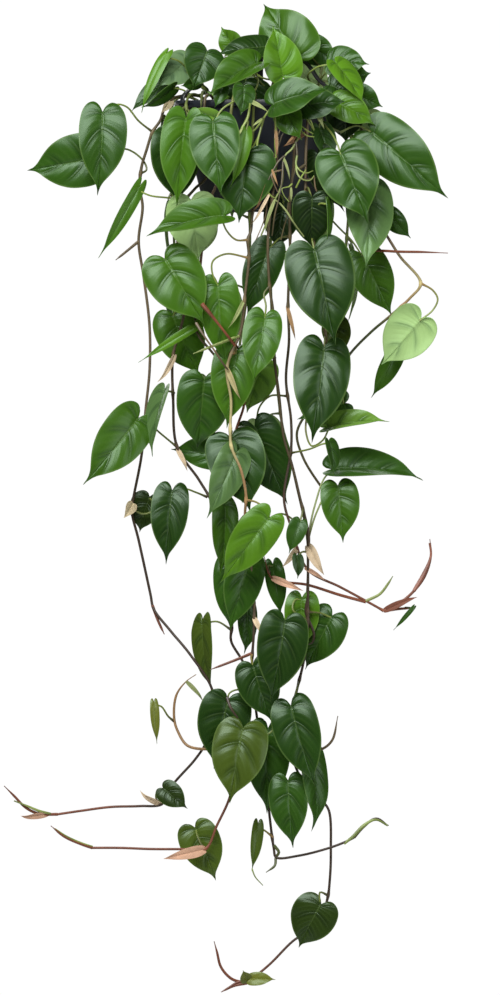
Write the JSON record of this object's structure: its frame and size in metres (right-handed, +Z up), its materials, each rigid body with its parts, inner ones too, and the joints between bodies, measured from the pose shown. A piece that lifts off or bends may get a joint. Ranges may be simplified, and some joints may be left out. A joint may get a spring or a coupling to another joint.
{
  "type": "potted heartleaf philodendron",
  "caption": "Trailing heartleaf philodendron in a dark plastic hanging pot with a strap hanger; long leafy vines hang over the rim.",
  "frame": {"origin": "the top of the inside of the eye of the hanger, where the pot hangs on its hook", "axes": "+Z up through the eye; the front of the plant faces -Y; +X to the right seen from the front"},
  "size_m": [0.4009, 0.229, 0.8924],
  "materials": {
    "pot_plastic": "semi-matte charcoal plastic",
    "hanger_plastic": "satin black plastic",
    "peat_soil": "crumbly matt peat",
    "leaf": "glossy, softly quilted green leaf",
    "leaf_young": "glossy yellow-green young leaf",
    "stem": "smooth olive to brown stem",
    "stalk": "smooth yellow-green leaf stalk",
    "bract": "papery beige bract"
  },
  "bodies": {
    "root": {"pot": "pot_plastic", "hanger": "hanger_plastic", "soil": "peat_soil", "outer_left_vine": "leaf", "inner_left_vine": "leaf", "left_front_vine": "leaf", "centre_front_vine": "leaf", "right_front_vine": "leaf", "centre_right_vine": "leaf", "upper_right_vine": "leaf", "right_rim_vine": "leaf", "right_spray": "leaf", "left_spray": "leaf", "middle_spray": "leaf", "left_crown_shoot": "leaf", "left_front_shoot": "leaf", "top_shoot": "leaf", "right_crown_shoot": "leaf", "front_crown_shoot": "leaf", "back_left_vine": "leaf", "back_centre_vine": "leaf", "right_side_vine": "leaf", "left_side_vine": "leaf", "back_crown_shoot": "leaf"}
  },
  "joints": []
}
